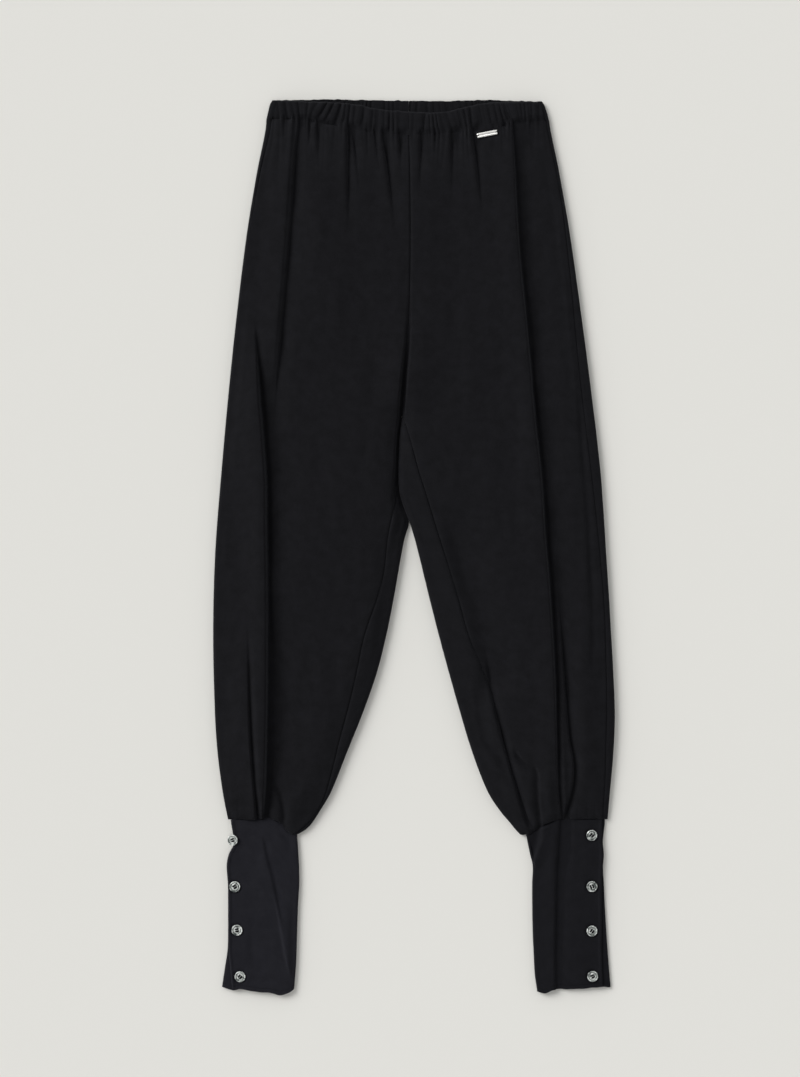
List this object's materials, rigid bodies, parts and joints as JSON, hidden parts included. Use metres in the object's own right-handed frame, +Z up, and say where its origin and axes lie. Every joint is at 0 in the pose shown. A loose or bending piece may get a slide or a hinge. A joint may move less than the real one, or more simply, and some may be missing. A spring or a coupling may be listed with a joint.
{
  "type": "harem pants",
  "caption": "Black crepe harem trousers laid flat, with a gathered elastic waistband and full legs pleated into long buttoned cuffs.",
  "frame": {"origin": "centre of the bounding box in plan, on the surface that the trousers lie on", "axes": "+Y from the cuffs to the waistband, +X to the side that has the metal plate, +Z up out of the front"},
  "size_m": [0.462, 1.03, 0.0109],
  "materials": {
    "leg_cloth": "matt black crepe",
    "cuff_cloth": "smooth black cloth, slightly bluer than the legs",
    "button_shell": "polished grey shell",
    "trim_metal": "polished silver"
  },
  "bodies": {
    "root": {"front_leg_left": "leg_cloth", "front_leg_right": "leg_cloth", "back_leg_left": "leg_cloth", "back_leg_right": "leg_cloth", "waistband_front_left": "leg_cloth", "waistband_front_right": "leg_cloth", "waistband_back_left": "leg_cloth", "waistband_back_right": "leg_cloth", "cuff_left": "cuff_cloth", "cuff_right": "cuff_cloth", "button_left_1": "button_shell", "button_left_2": "button_shell", "button_left_3": "button_shell", "button_left_4": "button_shell", "button_right_1": "button_shell", "button_right_2": "button_shell", "button_right_3": "button_shell", "button_right_4": "button_shell", "metal_plate": "trim_metal"}
  },
  "joints": []
}
